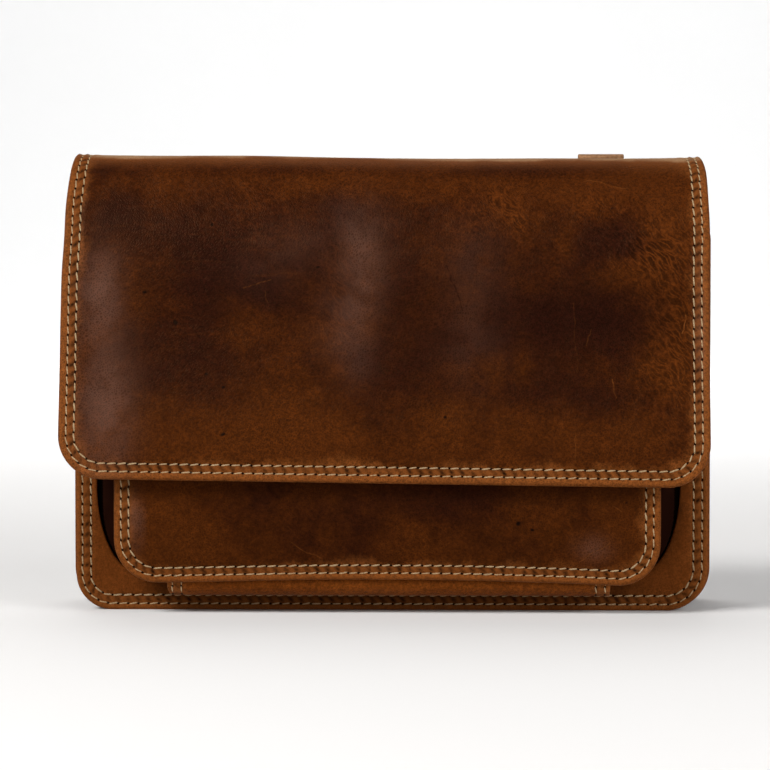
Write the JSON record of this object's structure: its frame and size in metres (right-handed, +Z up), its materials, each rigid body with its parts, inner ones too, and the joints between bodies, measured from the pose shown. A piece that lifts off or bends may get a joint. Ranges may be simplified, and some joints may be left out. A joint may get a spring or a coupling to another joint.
{
  "type": "organizer purse",
  "caption": "Leather flap-over organizer purse with a gusseted body and a cloth-sided front pocket under a large stitched flap.",
  "frame": {"origin": "centre of the purse's box, on the surface that it stands on", "axes": "+X to the purse's right as seen from the front, +Y towards its back, +Z up"},
  "size_m": [0.2704, 0.085, 0.1932],
  "materials": {
    "leather": "oiled, semi-gloss, worn tan at the edges",
    "cloth": "dark brown plain weave, matt",
    "thread": "cream waxed thread"
  },
  "bodies": {
    "root": {"front_panel": "leather", "inner_wall": "cloth", "back_panel": "leather", "side_gusset": "leather", "pocket_front": "leather", "pocket_side_left": "cloth", "pocket_side_right": "cloth", "pocket_bottom": "leather", "flap": "leather", "strap_tab": "leather"}
  },
  "joints": []
}
